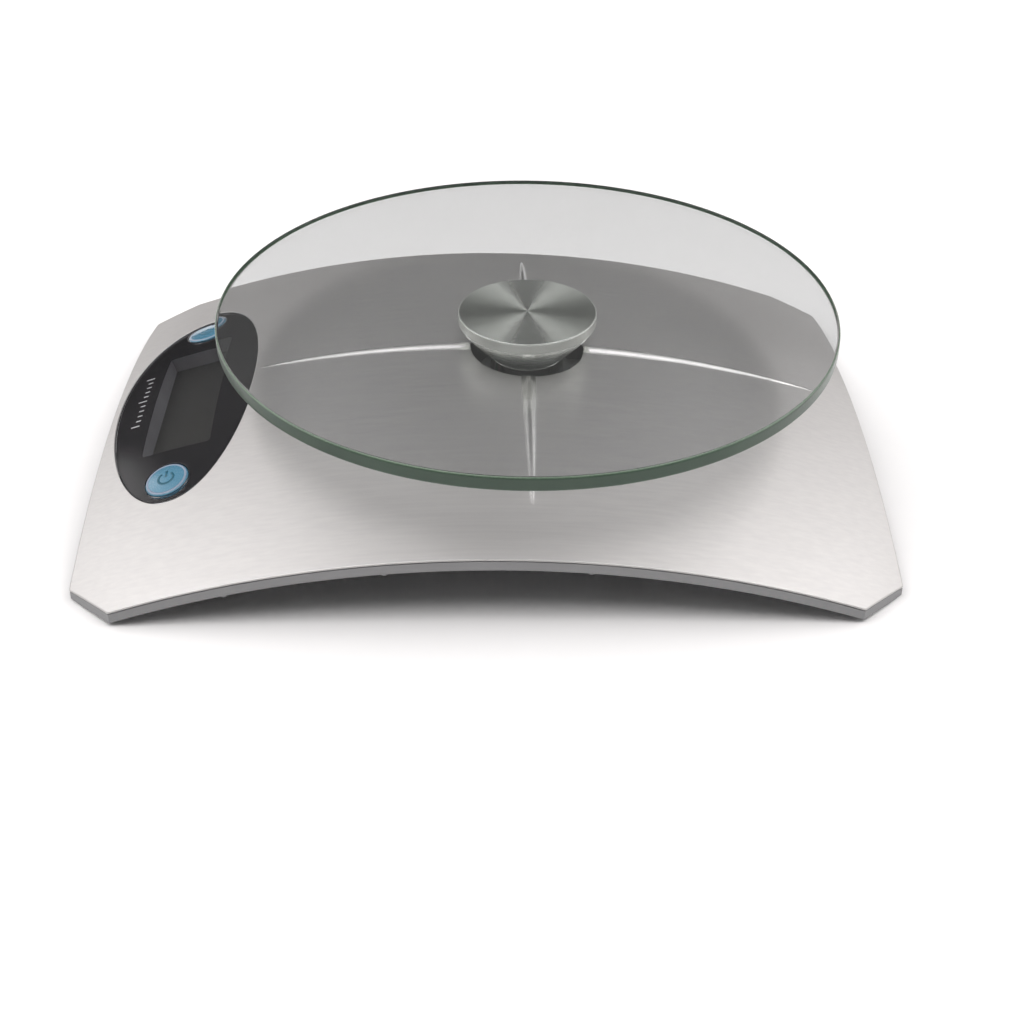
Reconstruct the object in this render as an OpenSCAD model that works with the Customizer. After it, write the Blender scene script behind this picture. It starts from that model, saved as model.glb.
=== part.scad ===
// Digital gram scale: a round glass platter on a central stem, over a domed stainless base.
// Origin: on the table, under the middle of the base. +X is to the right, the front faces -Y.

/* [Base] */
// Length of the base from left to right
base_length = 249.9; // [240:0.1:260]
// Width of the base from front to back
base_width = 191.4; // [180:0.1:200]
// How much each corner is cut off along the length
corner_cut_x = 14; // [10:0.5:18]
// How much each corner is cut off along the width
corner_cut_y = 13.1; // [10:0.1:18]
// Radius of the dome that the base is pressed to
dome_radius = 351; // [345:1:360]
// Height of the top of the dome above the table
dome_top = 37.4; // [37:0.1:39]
// Thickness of the stainless sheet
sheet = 0.6; // [0.5:0.1:0.8]
// Thickness of the plastic tray's skin
skin = 2; // [1.6:0.1:2.4]
// Depth of the tray's visible edge
rim_depth = 3; // [2.8:0.1:3.4]

/* [Platter] */
// Diameter of the glass platter
glass_d = 200; // [194:1:206]
// Thickness of the glass platter
glass_t = 4.8; // [4:0.2:6]
// Height of the weighing surface above the table
glass_top = 55.1; // [54:0.1:58]
// How far the platter's axis lies to the right of the middle
hub_x = 13.2; // [12:0.1:14]
// Diameter of the steel disc under the glass
hub_d = 44.8; // [40:0.2:48]
// Diameter of the stem, under the hole in the cover
stem_d = 24; // [22:0.5:26]
// Diameter of the hole in the cover around the stem
hole_d = 36.8; // [36:0.2:38]
// Height of the embossed ridges where they start, near the hole
ridge_height = 1.4; // [1:0.1:1.8]

/* [Display] */
// Distance of the display's middle from the middle of the base, to the left
display_offset = 99.9; // [99.5:0.1:100.5]
// Length of the elliptical display lens, from front to back
lens_long = 115.2; // [114:0.2:116]
// Width of the elliptical display lens
lens_short = 48; // [47:0.2:48.4]
// Length of the window over the liquid crystal panel
window_long = 62.4; // [58:0.2:64]
// Width of the window over the liquid crystal panel
window_short = 23.2; // [20:0.2:24]
// Diameter of each push button
button_d = 14.2; // [13:0.2:15]
// Distance between the two push buttons
button_pitch = 94.2; // [93:0.2:94.4]
// Travel of each push button
button_travel = 0.4; // [0.2:0.1:0.4]

/* [Weighing] */
// Length of the load cell
cell_length = 75; // [74:1:76]
// Width and height of the load cell
cell_size = 12.7; // [12.5:0.1:12.8]
// Downward travel of the platter at full load
press_travel = 0.5; // [0.3:0.1:0.5]

/* [Battery] */
// Diameter of the coin cell
coin_d = 20; // [19.8:0.1:20]
// Thickness of the coin cell
coin_t = 3.2; // [3:0.1:3.2]

/* [Hidden] */

$fn = 48;
fine = 240;               // facets of the largest round shapes in a preview
over = 1;                 // how far a cutting shape runs past what it cuts
far = 60;                 // taller than the whole object

// Base: levels above the table
tray_gap = 0.3;           // between the steel sheet and the plastic under it
tray_out = -sheet - tray_gap;
tray_in = tray_out - skin;
table_gap = 0.5;          // the tray's lowest edge above the table
floor_z = 3;              // underside of the well
floor_t = 2.4;
floor_top = floor_z + floor_t;
rim_width = 3;
wall = 2;
ridge_base = hole_d / 2 + 3.8;
ridge_tip_height = 0.15;
ridge_half = 2.9;
ridge_steps = 10;
// Each ridge: direction about the platter's axis, and its reach from that axis
ridges = [[0, 97.6], [90, 80.6], [180, 88.4], [270, 75.3]];

// Well under the dome: a wide part under the display and a narrow part under the platter
well_wide = [-117, -80, -55, 55];
well_long = [-90, 60, -20, 20];
well_corner = 3;

// Feet and the screws that hold the cover
foot_at = [104, 78];
foot_r = 6;
foot_h = 2.2;
foot_boss_r = 7.5;
foot_recess = 1;
fit = 0.1;
stud_at = [60, 62];
stud_r = 2.5;
stud_bore_r = 1.5;
stud_bottom = 20.5;
seat_z = 18.8;
boss_r = 5;
m3_r = 1.45;
m3_head_r = 2.8;
m3_head_h = 1.8;

// Display: heights in the display's own frame, whose origin is on the dome
display_x = -display_offset;
display_tilt = asin(display_offset / dome_radius);
display_z = dome_top - dome_radius + sqrt(pow(dome_radius, 2) - pow(display_x, 2));
lens_t = 1.4;
mask_t = 0.2;
ledge_t = 1.4;
lens_gap = 0.15;
lens_in = -lens_t;
mask_in = lens_in - mask_t;
ledge_in = mask_in - ledge_t;
ellipse_steps = 72;
lcd_top = -8;
lcd_t = 2.2;
lcd_long = 70;
lcd_short = 29;
pcb_top = -11.4;
pcb_t = 1.6;
pcb_bottom = pcb_top - pcb_t;
pcb_u = [-16, 16.2];
pcb_half = 53;
baffle = 1.6;
holder = 1.5;
post_at = [[-12, 40], [13, 40], [-12, -40], [13, -40]];
post_r = 2.6;
pilot_r = 0.9;
m2_r = 0.85;
m2_head_r = 1.7;
m2_head_h = 0.9;
button_u = -0.8;
button_r = button_d / 2;
button_v = button_pitch / 2;
button_proud = 0.5;
flange_r = 7.9;
flange_top = -6.2;
flange_bottom = -7;
plunger_top = -7.1;
plunger_r = 1.75;
plunger_h = 1.9;
switch_side = 6;
switch_top = -7.9;

// Weighing parts: levels above the table
cell_z = 9.5;
cell_top = cell_z + cell_size;
cell_x = [hub_x - cell_length / 2, hub_x + cell_length / 2];
cell_hole = 5;            // from the load cell's end to its first hole
cell_hole_pitch = 15;
m4_r = 1.95;
m4_hole_r = 2;
m4_head_r = 3.8;
m4_head_h = 2.4;
fixed_holes = [cell_x[0] + cell_hole, cell_x[0] + cell_hole + cell_hole_pitch];
free_holes = [cell_x[1] - cell_hole, cell_x[1] - cell_hole - cell_hole_pitch];
carrier_z = cell_top + 2;
carrier_t = 3;
carrier_top = carrier_z + carrier_t;
m5_r = 2.4;
m5_hole_r = 2.5;
m5_head_r = 4.6;
m5_head_h = 2.4;
glass_z = glass_top - glass_t;
disc_t = 3.4;
bowl_depth = 11.6;
bowl_power = 0.85;        // 1 is a plain cone, and less is a fuller bowl
stem_top = glass_z - disc_t - bowl_depth;
spigot_r = 8;
spigot_h = 2;
m5_length = 6;            // of the stem screw, above its head

// Battery: a coin cell over a sliding door in the well's floor
coin_at = [-50, 0];
coin_z = 4.75;
door_x = [-66, -34];
door_y = [-22, 13];
door_w = door_x[1] - door_x[0];
door_l = door_y[1] - door_y[0];
door_t = 1.6;
track_l = over + door_l + fit;
tongue = 1.5;
tongue_t = 0.6;
holder_r = coin_d / 2 + 2.3;
holder_top = 10.4;
roof_z = 9.2;
leaf = 0.3;

// Wires: routes by hand, each a list of points that the wire passes through
wire_r = 0.5;
wire_sides = 8;
wire_steps = 3;
pad_point = [-80.6, 17.3];
sensor_y = [-4.5, -1.5, 1.5, 4.5];
function sensor_route(y) = [[-3.8, y, 22.75], [-27, y, 22.75], [-42, y * 0.7, 20],
                            [-68, y * 0.7, 18.6], [pad_point[0], y, pad_point[1]]];
negative_route = [[-50, 13.4, 9.7], [-56, 13.4, 12.5], [-72, 13.4, 16.5],
                  [pad_point[0], 13.4, pad_point[1]]];
positive_route = [[-35.6, 0, 6.2], [-34, 10, 8], [-35, 16, 12.5], [-58, 16.4, 14],
                  [-74, 16.4, 17.4], [pad_point[0], 16.4, pad_point[1]]];

// ---------------------------------------------------------------- shared shapes

module dome(off) {
    translate([0, 0, dome_top - dome_radius]) sphere(r = dome_radius + off, $fn = fine);
}

module base_plan(inset) {
    x = base_length / 2 - inset;
    y = base_width / 2 - inset;
    cx = corner_cut_x - inset * 0.45;
    cy = corner_cut_y - inset * 0.45;
    polygon([[-x + cx, -y], [x - cx, -y], [x, -y + cy], [x, y - cy],
             [x - cx, y], [-x + cx, y], [-x, y - cy], [-x, -y + cy]]);
}

module rounded_plan(box, grow) {
    r = well_corner + grow;
    x0 = box[0] - grow;
    x1 = box[1] + grow;
    y0 = box[2] - grow;
    y1 = box[3] + grow;
    translate([x0 + r, y0]) square([x1 - x0 - 2 * r, y1 - y0]);
    translate([x0, y0 + r]) square([x1 - x0, y1 - y0 - 2 * r]);
    for (x = [x0 + r, x1 - r], y = [y0 + r, y1 - r]) translate([x, y]) circle(r = r);
}

module well_prism(grow, z) {
    translate([0, 0, z]) linear_extrude(far) {
        rounded_plan(well_wide, grow);
        rounded_plan(well_long, grow);
    }
}

module at_corners(place) {
    for (sx = [-1, 1], sy = [-1, 1]) translate([sx * place[0], sy * place[1], 0]) children();
}

module at_display() {
    translate([display_x, 0, display_z]) rotate([0, -display_tilt, 0]) children();
}

module at_buttons() {
    for (s = [-1, 1]) translate([button_u, s * button_v, 0]) children();
}

// A slab of the display's frame with an elliptical outline, from a depth up past the dome
module ellipse_prism(grow, depth) {
    a = lens_short / 2 + grow;
    b = lens_long / 2 + grow;
    translate([0, 0, depth]) linear_extrude(far / 2)
        polygon([for (i = [0 : ellipse_steps - 1])
            [a * cos(360 * i / ellipse_steps), b * sin(360 * i / ellipse_steps)]]);
}

// A box in the display's frame, centred on its origin in plan
module block(size_u, size_v, low, high) {
    translate([-size_u / 2, -size_v / 2, low]) cube([size_u, size_v, high - low]);
}

// A smooth curve through a route's points: Catmull-Rom, with the ends repeated
function curve_point(a, b, c, d, t) =
    (2 * b + (c - a) * t + (2 * a - 5 * b + 4 * c - d) * t * t + (3 * b - a - 3 * c + d) * t * t * t) / 2;
function route_point(route, i) = route[max(0, min(len(route) - 1, i))];
function smooth(route) = [for (i = [0 : len(route) - 2], k = [0 : wire_steps - 1])
    curve_point(route_point(route, i - 1), route[i], route[i + 1], route_point(route, i + 2), k / wire_steps),
    route[len(route) - 1]];
function unit(v) = v / norm(v);

// A round wire with flat ends that follows a route, none of which is upright
module wire(route) {
    path = smooth(route);
    last = len(path) - 1;
    rings = [for (i = [0 : last])
        let (along = unit(route_point(path, i + 1) - route_point(path, i - 1)),
             side = unit(cross(along, [0, 0, 1])), up = cross(side, along))
        for (k = [0 : wire_sides - 1])
            path[i] + wire_r * (cos(360 * k / wire_sides) * side + sin(360 * k / wire_sides) * up)];
    walls = [for (i = [0 : last - 1], k = [0 : wire_sides - 1])
        let (a = i * wire_sides + k, b = i * wire_sides + (k + 1) % wire_sides)
        [a, b, b + wire_sides, a + wire_sides]];
    near = [for (k = [wire_sides - 1 : -1 : 0]) k];
    end = [for (k = [0 : wire_sides - 1]) last * wire_sides + k];
    polyhedron(rings, concat([near], walls, [end]));
}

// ---------------------------------------------------------------- base

// Plan of a ridge: full width near the hole, narrowing as a parabola to a small flat tip
module ridge_plan(reach) {
    run = reach - ridge_base;
    function half(i) = ridge_half * sqrt(1 - 0.96 * i / ridge_steps);
    polygon([for (i = [0 : ridge_steps]) [ridge_base + run * i / ridge_steps, half(i)],
             for (i = [ridge_steps : -1 : 0]) [ridge_base + run * i / ridge_steps, -half(i)]]);
    translate([ridge_base, 0]) circle(r = ridge_half);
}

// The dome moved towards the hole and up, so that it stands proud there and almost meets it at the tip
module ridge(angle, reach) {
    slope = (ridge_height - ridge_tip_height) / (reach - ridge_base);
    back = -dome_radius * slope;
    lift = ridge_height + slope * (ridge_base + hub_x * cos(angle));
    difference() {
        intersection() {
            translate([hub_x, 0, 0]) rotate([0, 0, angle]) linear_extrude(far) ridge_plan(reach);
            translate([back * cos(angle), back * sin(angle), lift]) dome(0);
        }
        dome(-sheet / 2);
    }
}

module top_cover() color("gainsboro") {
    difference() {
        intersection() {
            linear_extrude(far) base_plan(0);
            dome(0);
        }
        dome(-sheet);
        translate([hub_x, 0, 0]) cylinder(d = hole_d, h = far, $fn = fine);
        at_display() ellipse_prism(lens_gap, -far / 4);
    }
    for (r = ridges) ridge(r[0], r[1]);
}

// Internally threaded studs, welded to the underside of the cover
module cover_studs() color("silver") {
    intersection() {
        at_corners(stud_at) difference() {
            translate([0, 0, stud_bottom]) cylinder(r = stud_r, h = far / 4);
            translate([0, 0, stud_bottom - over]) cylinder(r = stud_bore_r, h = 4 + over);
        }
        dome(-sheet);
    }
}

module cover_screws() color("dimgray") at_corners(stud_at) {
    difference() {
        translate([0, 0, seat_z - m3_head_h]) cylinder(r = m3_head_r, h = m3_head_h);
        translate([0, 0, seat_z - m3_head_h - over]) cube([0.7, 3.2, 2 * over + 0.8], center = true);
        translate([0, 0, seat_z - m3_head_h - over]) cube([3.2, 0.7, 2 * over + 0.8], center = true);
    }
    translate([0, 0, seat_z]) cylinder(r = m3_r, h = 5);
}

// Upright stiffeners under the skin, from the well's walls towards the rim
module stiffener(from, to) {
    run = norm(to - from);
    deep = 4;
    difference() {
        intersection() {
            translate([from[0], from[1], table_gap]) rotate([0, 0, atan2(to[1] - from[1], to[0] - from[0])])
                translate([0, -0.7, 0]) cube([run, 1.4, far]);
            dome(tray_in + skin / 2);
        }
        translate([0, 0, -deep]) dome(tray_in);
    }
}

module body_tray() color("darkgray") {
    rim_in = rim_width;
    battery_cut = coin_d / 2 + 0.3;
    difference() {
        union() {
            difference() {
                intersection() {
                    translate([0, 0, table_gap]) linear_extrude(far) base_plan(0.1);
                    dome(tray_out);
                }
                intersection() {
                    linear_extrude(far) base_plan(rim_in);
                    dome(tray_in);
                }
                translate([0, 0, -rim_depth]) dome(tray_out);
            }
            intersection() {
                well_prism(wall, floor_z);
                dome(tray_in + skin / 2);
            }
            for (s = [-1, 1]) {
                for (x = [-30, 30]) stiffener([x, s * 21], [x, s * 93]);
                stiffener([61, s * 19], [110, s * 74]);
                stiffener([-77, s * 60], [-77, s * 93]);
            }
            for (y = [-12, 12]) stiffener([61, y], [122, y]);
            intersection() {
                union() {
                    at_corners(foot_at) translate([0, 0, foot_h - foot_recess])
                        cylinder(r = foot_boss_r, h = far / 2);
                    at_corners(stud_at) translate([0, 0, seat_z]) cylinder(r = boss_r, h = far / 2);
                }
                dome(tray_in + skin / 2);
            }
        }
        // the well is open to the top
        well_prism(0, floor_top);
        // feet, cover screws
        at_corners(foot_at) translate([0, 0, -over]) cylinder(r = foot_r + fit, h = foot_h + over);
        at_corners(stud_at) {
            translate([0, 0, stud_bottom - fit]) cylinder(r = stud_r + fit, h = far / 2);
            cylinder(r = m3_r + 2 * fit, h = far / 2);
        }
        // seat of the display's housing
        difference() {
            at_display() ellipse_prism(lens_gap, -far / 4);
            dome(ledge_in - fit);
        }
        // load cell screws and stop screw
        for (x = fixed_holes) translate([x, 0, 0]) {
            cylinder(r = m4_hole_r + 2 * fit, h = floor_top + over);
            cylinder(r = m4_head_r + fit, h = floor_z + 1);
        }
        translate([(free_holes[0] + free_holes[1]) / 2, 0, 0]) cylinder(r = m4_hole_r, h = floor_top + over);
        // battery opening and the door's track, open at the front of the well
        translate([coin_at[0], coin_at[1], 0]) cylinder(r = battery_cut, h = floor_top + over);
        translate([door_x[0] - fit, door_y[0] - over, 0])
            cube([door_w + 2 * fit, track_l, floor_z + door_t + fit]);
        translate([door_x[0] - tongue - fit, door_y[0] - over, floor_z + door_t - tongue_t - fit])
            cube([door_w + 2 * (tongue + fit), track_l, tongue_t + 2 * fit]);
    }
    // raised seat for the load cell's fixed end
    difference() {
        translate([cell_x[0] - 1, -9, floor_top - over])
            cube([cell_hole_pitch + 2 * cell_hole + 1, 18, cell_z - floor_top + over]);
        for (x = fixed_holes) translate([x, 0, 0]) cylinder(r = m4_hole_r + 2 * fit, h = far);
    }
    // boss of the stop screw
    translate([(free_holes[0] + free_holes[1]) / 2, 0, floor_top - over]) difference() {
        cylinder(r = 5, h = over + 1.8);
        translate([0, 0, -over]) cylinder(r = m4_hole_r, h = far);
    }
    // holder of the coin cell: a ring with a roof and a slot for the side contact
    translate([coin_at[0], coin_at[1], 0]) difference() {
        translate([0, 0, floor_top - over / 2]) cylinder(r = holder_r, h = holder_top - floor_top + over / 2);
        translate([0, 0, floor_top - over]) cylinder(r = battery_cut, h = roof_z - floor_top + over);
        translate([6, -2.8, floor_top]) cube([10, 5.6, roof_z - floor_top]);
        translate([-3.2, 6, roof_z - leaf - 0.4]) cube([6.4, 10, leaf + 0.4]);
    }
}

module rubber_feet() color("dimgray") at_corners(foot_at) {
    cylinder(r1 = foot_r - 0.4, r2 = foot_r, h = 0.4);
    translate([0, 0, 0.4]) cylinder(r = foot_r, h = foot_h - 0.4);
}

// ---------------------------------------------------------------- display

module display_lens() color([0.16, 0.16, 0.18]) {
    difference() {
        intersection() {
            at_display() ellipse_prism(0, -far / 4);
            dome(0);
        }
        dome(lens_in);
        at_display() at_buttons() cylinder(r = button_r + 2 * fit, h = far / 2, center = true);
    }
}

// Printed film behind the lens, with the window left clear
module lens_mask() color("black") {
    difference() {
        intersection() {
            at_display() ellipse_prism(-0.2, -far / 4);
            dome(lens_in);
        }
        dome(mask_in);
        at_display() {
            at_buttons() cylinder(r = button_r + 3 * fit, h = far / 2, center = true);
            block(window_short, window_long, -far / 4, far / 4);
        }
    }
}

// What stands under the housing's plate: the window's walls, the panel's holder and the board's posts
module housing_inside() {
    block(window_short + 2 * baffle, window_long + 2 * baffle, lcd_top, 0);
    block(lcd_short + 2 * holder, lcd_long + 2 * holder, pcb_top, lcd_top + holder);
    for (p = post_at) translate([p[0], p[1], pcb_top]) cylinder(r = post_r, h = -pcb_top);
}

module display_housing() color([0.2, 0.2, 0.21]) {
    difference() {
        intersection() {
            at_display() ellipse_prism(-0.2, -far / 4);
            dome(mask_in);
        }
        difference() {
            dome(ledge_in);
            at_display() housing_inside();
        }
        at_display() {
            block(window_short, window_long, -far / 4, far / 4);
            block(lcd_short + 2 * fit, lcd_long + 2 * fit, pcb_top - over, lcd_top);
            at_buttons() cylinder(r = flange_r + 0.4, h = far / 2, center = true);
            for (p = post_at) translate([p[0], p[1], pcb_top - over]) cylinder(r = pilot_r, h = over + 4);
        }
    }
}

module lcd_panel() color([0.33, 0.36, 0.33]) at_display()
    block(lcd_short, lcd_long, lcd_top - lcd_t, lcd_top);

module zebra_strips() color("lightpink") at_display()
    for (s = [-1, 1]) translate([s * (lcd_short / 2 - 1.4), 0, 0])
        block(1.8, lcd_long - 6, pcb_top, lcd_top - lcd_t);

module main_pcb() color("darkgreen") at_display() difference() {
    translate([pcb_u[0], -pcb_half, pcb_bottom]) cube([pcb_u[1] - pcb_u[0], 2 * pcb_half, pcb_t]);
    for (p = post_at) translate([p[0], p[1], pcb_bottom - over])
        cylinder(r = m2_r + fit, h = pcb_t + 2 * over);
}

module pcb_screws() color("silver") at_display() for (p = post_at) translate([p[0], p[1], 0]) {
    translate([0, 0, pcb_bottom - m2_head_h]) cylinder(r = m2_head_r, h = m2_head_h);
    translate([0, 0, pcb_bottom]) cylinder(r = m2_r, h = pcb_t + 3.5);
}

// Two small electrolytic capacitors and a row of chip resistors, under the board
module pcb_components() color("slategray") at_display() {
    for (v = [-22, -30]) translate([10, v, pcb_bottom - 5]) cylinder(r = 2.5, h = 5);
    for (i = [0 : 5]) translate([6 + 2.6 * (i % 2), 22 + 2.2 * floor(i / 2), pcb_bottom - 0.55])
        cube([2, 1.25, 0.55]);
    translate([4, -14, pcb_bottom - 1.8]) cube([3.2, 8, 1.8]);
}

module processor_blob() color([0.08, 0.08, 0.08]) at_display() translate([8, 8, pcb_bottom])
    difference() {
        translate([0, 0, 10]) sphere(r = 12, $fn = 64);
        translate([-20, -20, 0]) cube([40, 40, 40]);
    }

module tact_switches() color("gray") at_display() at_buttons() difference() {
    block(switch_side, switch_side, pcb_top, switch_top);
    translate([0, 0, plunger_top - plunger_h - button_travel - fit])
        cylinder(r = plunger_r + fit, h = far / 4);
}

module switch_plunger(side) at_display() translate([button_u, side * button_v, plunger_top - plunger_h])
    cylinder(r = plunger_r, h = plunger_h);

module power_switch_plunger() color("ivory") switch_plunger(-1);
module unit_switch_plunger() color("ivory") switch_plunger(1);

// A moulded cap: its face follows the dome, and its flange holds it behind the lens
module push_button(side) {
    intersection() {
        at_display() translate([button_u, side * button_v, 0]) {
            translate([0, 0, flange_bottom]) cylinder(r = button_r, h = far / 4);
            translate([0, 0, flange_bottom]) cylinder(r = flange_r, h = flange_top - flange_bottom);
            translate([0, 0, plunger_top]) cylinder(r = 2.5, h = over);
        }
        dome(button_proud);
    }
}

module power_button() color("skyblue") push_button(-1);
module unit_button() color("skyblue") push_button(1);

// ---------------------------------------------------------------- weighing parts

// A bar with two joined cross holes that leave thin walls, where it bends
module load_cell() color("lightsteelblue") {
    difference() {
        translate([cell_x[0], -cell_size / 2, cell_z]) cube([cell_length, cell_size, cell_size]);
        for (s = [-1, 1]) translate([hub_x + 6.5 * s, 0, cell_z + cell_size / 2])
            rotate([90, 0, 0]) cylinder(d = 9.7, h = 2 * cell_size, center = true);
        translate([hub_x - 6.5, -cell_size, cell_z + cell_size / 2 - 2])
            cube([13, 2 * cell_size, 4]);
        for (x = concat(fixed_holes, free_holes)) translate([x, 0, cell_z - over])
            cylinder(r = m4_hole_r, h = cell_size + 2 * over);
    }
}

// Soft white coating over the strain gauges and the wires' ends
module gauge_sealant() color("whitesmoke")
    translate([hub_x - 17, -6, cell_top]) cube([34 - 17.5, 12, 0.9]);

module load_cell_base_screws() color("silver") for (x = fixed_holes) translate([x, 0, 0]) {
    difference() {
        translate([0, 0, floor_z + 1 - m4_head_h + 1.4]) cylinder(r = m4_head_r, h = m4_head_h - 1.4);
        translate([0, 0, floor_z]) cylinder(r = 1.6, h = 1.2, center = true, $fn = 6);
    }
    translate([0, 0, floor_z + 1]) cylinder(r = m4_r, h = 14);
}

module overload_stop_screw() color("dimgray")
    translate([(free_holes[0] + free_holes[1]) / 2, 0, floor_z + 0.2])
        difference() {
            cylinder(r = m4_r, h = cell_z - press_travel - fit - floor_z - 0.2);
            translate([0, 0, -over]) cylinder(r = 1.1, h = 2 + over, $fn = 6);
        }

module sensor_wires() color("firebrick") for (y = sensor_y) wire(sensor_route(y));

module platform_carrier() color("silver") {
    pad_x = free_holes[1] - 4;
    difference() {
        union() {
            translate([hub_x, 0, carrier_z]) cylinder(r = 17, h = carrier_t);
            translate([hub_x, -9, carrier_z]) cube([cell_x[1] + 1 - hub_x, 18, carrier_t]);
            translate([pad_x, -9, cell_top]) cube([cell_x[1] + 1 - pad_x, 18, carrier_z - cell_top + over]);
        }
        translate([hub_x, 0, carrier_z - over]) cylinder(r = m5_hole_r, h = carrier_t + 2 * over);
        translate([hub_x, 0, carrier_z - over]) cylinder(r = m5_head_r + fit, h = over + m5_head_h);
        for (x = free_holes) translate([x, 0, cell_top - over]) cylinder(r = m4_hole_r, h = far);
    }
}

module carrier_screws() color("dimgray") for (x = free_holes) translate([x, 0, 0]) {
    difference() {
        translate([0, 0, carrier_top]) cylinder(r = 3.5, h = m4_head_h);
        translate([0, 0, carrier_top + m4_head_h]) cylinder(r = 1.6, h = 2.6, center = true, $fn = 6);
    }
    translate([0, 0, cell_top - 9]) cylinder(r = m4_r, h = 9 + carrier_top - cell_top);
}

module stem_screw() color("dimgray") translate([hub_x, 0, 0]) {
    difference() {
        translate([0, 0, carrier_z]) cylinder(r = m5_head_r, h = m5_head_h);
        translate([0, 0, carrier_z]) cylinder(r = 2, h = 3, center = true, $fn = 6);
    }
    translate([0, 0, carrier_z + m5_head_h]) cylinder(r = m5_r, h = m5_length);
}

module hub_stem() color("lightgray") translate([hub_x, 0, 0]) rotate_extrude($fn = 96) difference() {
    translate([0, carrier_top]) square([stem_d / 2, stem_top - carrier_top]);
    translate([0, carrier_top - over]) square([m5_hole_r, stem_top - carrier_top]);
    translate([0, stem_top - spigot_h]) square([spigot_r, spigot_h + over]);
}

// Spun disc with a bowl-shaped underside and a spigot that sits in the stem
module hub_disc() color("lightgray") translate([hub_x, 0, 0]) rotate_extrude($fn = 96) {
    rim_r = hub_d / 2;
    rim_z = glass_z - disc_t;
    spigot_z = stem_top - spigot_h;
    bowl = [for (i = [0 : 12]) let (out = i / 12)
        [stem_d / 2 + (rim_r - 0.3 - stem_d / 2) * out, rim_z - bowl_depth * pow(1 - out, bowl_power)]];
    polygon(concat([[0, spigot_z], [spigot_r - fit, spigot_z], [spigot_r - fit, stem_top]], bowl,
                   [[rim_r, rim_z + 0.4], [rim_r, glass_z - 0.5], [rim_r - 0.5, glass_z], [0, glass_z]]));
}

module glass_platter() color([0.7, 0.85, 0.8, 0.45]) translate([hub_x, 0, glass_z]) {
    r = glass_d / 2;
    bevel = 0.7;
    rotate_extrude($fn = fine) polygon([[0, 0], [r - bevel, 0], [r, bevel], [r, glass_t - bevel],
                                        [r - bevel, glass_t], [0, glass_t]]);
}

// ---------------------------------------------------------------- battery

module coin_cell() color("lightgray") translate([coin_at[0], coin_at[1], coin_z]) {
    cylinder(d = coin_d, h = coin_t - 0.5);
    translate([0, 0, coin_t - 0.5]) cylinder(d = coin_d - 2.4, h = 0.5);
}

// A leaf under the holder's roof, with a dimple that presses on the cell
module negative_contact() color("khaki") translate([coin_at[0], coin_at[1], 0]) {
    translate([-2.8, -6, roof_z - leaf]) cube([5.6, 20.4, leaf]);
    translate([0, 0, coin_z + coin_t]) cylinder(r = 2, h = roof_z - leaf - coin_z - coin_t);
}

// A leaf that stands beside the cell, with a foot on the floor
module positive_contact() color("khaki") translate([coin_at[0] + coin_d / 2, coin_at[1], floor_top]) {
    translate([0, -2.5, 0]) cube([leaf, 5, 3.6]);
    translate([0, -2.5, 0]) cube([5.4, 5, leaf]);
}

module battery_wires() color("crimson") {
    wire(negative_route);
    wire(positive_route);
}

module battery_door() color("gray") {
    difference() {
        translate([door_x[0], door_y[0], floor_z]) cube([door_w, door_l, door_t]);
        for (i = [0 : 4]) translate([coin_at[0] - 8, door_y[0] + 3 + 2.4 * i, floor_z - over])
            cube([16, 1, over + 0.5]);
    }
    translate([door_x[0] - tongue, door_y[0] + 3, floor_z + door_t - tongue_t])
        cube([door_w + 2 * tongue, door_l - 3, tongue_t]);
}

top_cover();
cover_studs();
cover_screws();
body_tray();
rubber_feet();
display_lens();
lens_mask();
display_housing();
lcd_panel();
zebra_strips();
main_pcb();
pcb_screws();
pcb_components();
processor_blob();
tact_switches();
power_switch_plunger();
unit_switch_plunger();
power_button();
unit_button();
load_cell();
gauge_sealant();
load_cell_base_screws();
overload_stop_screw();
sensor_wires();
negative_contact();
positive_contact();
coin_cell();
battery_wires();
battery_door();
platform_carrier();
carrier_screws();
stem_screw();
hub_stem();
hub_disc();
glass_platter();
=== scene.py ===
"""Looks of the digital gram scale: a round glass platter on a turned steel hub, over a domed steel base."""
import math

import bmesh
import bpy
from mathutils import Matrix, Vector
from mathutils.geometry import delaunay_2d_cdt


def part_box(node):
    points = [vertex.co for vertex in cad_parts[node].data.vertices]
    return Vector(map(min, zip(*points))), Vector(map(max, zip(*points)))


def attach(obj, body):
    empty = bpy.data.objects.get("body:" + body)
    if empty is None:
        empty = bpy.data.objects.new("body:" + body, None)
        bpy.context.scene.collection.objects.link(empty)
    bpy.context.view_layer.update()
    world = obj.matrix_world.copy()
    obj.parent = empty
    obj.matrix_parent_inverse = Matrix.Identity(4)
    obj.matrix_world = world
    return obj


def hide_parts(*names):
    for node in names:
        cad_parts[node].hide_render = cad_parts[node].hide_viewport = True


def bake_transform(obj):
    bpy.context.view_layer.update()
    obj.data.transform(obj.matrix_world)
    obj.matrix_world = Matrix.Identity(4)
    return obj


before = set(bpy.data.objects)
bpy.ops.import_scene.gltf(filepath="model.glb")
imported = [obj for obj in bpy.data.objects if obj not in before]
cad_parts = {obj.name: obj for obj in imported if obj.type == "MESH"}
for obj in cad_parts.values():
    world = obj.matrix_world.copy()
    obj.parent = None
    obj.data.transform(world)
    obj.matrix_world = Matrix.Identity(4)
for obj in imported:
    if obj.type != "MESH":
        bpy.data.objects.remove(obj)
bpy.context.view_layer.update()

# ------------------------------------------------------------------ sizes, in metres

MM = 0.001
TAU = 2 * math.pi

# Base: the dome that the sheet is pressed to, and its outline
DOME_RADIUS = 351 * MM
DOME_TOP = 37.4 * MM
SHEET = 0.6 * MM
CORNER_CUT = (14 * MM, 13.1 * MM)
CORNER_ROUND = 1.2 * MM
base_low, base_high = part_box("top_cover")

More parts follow.
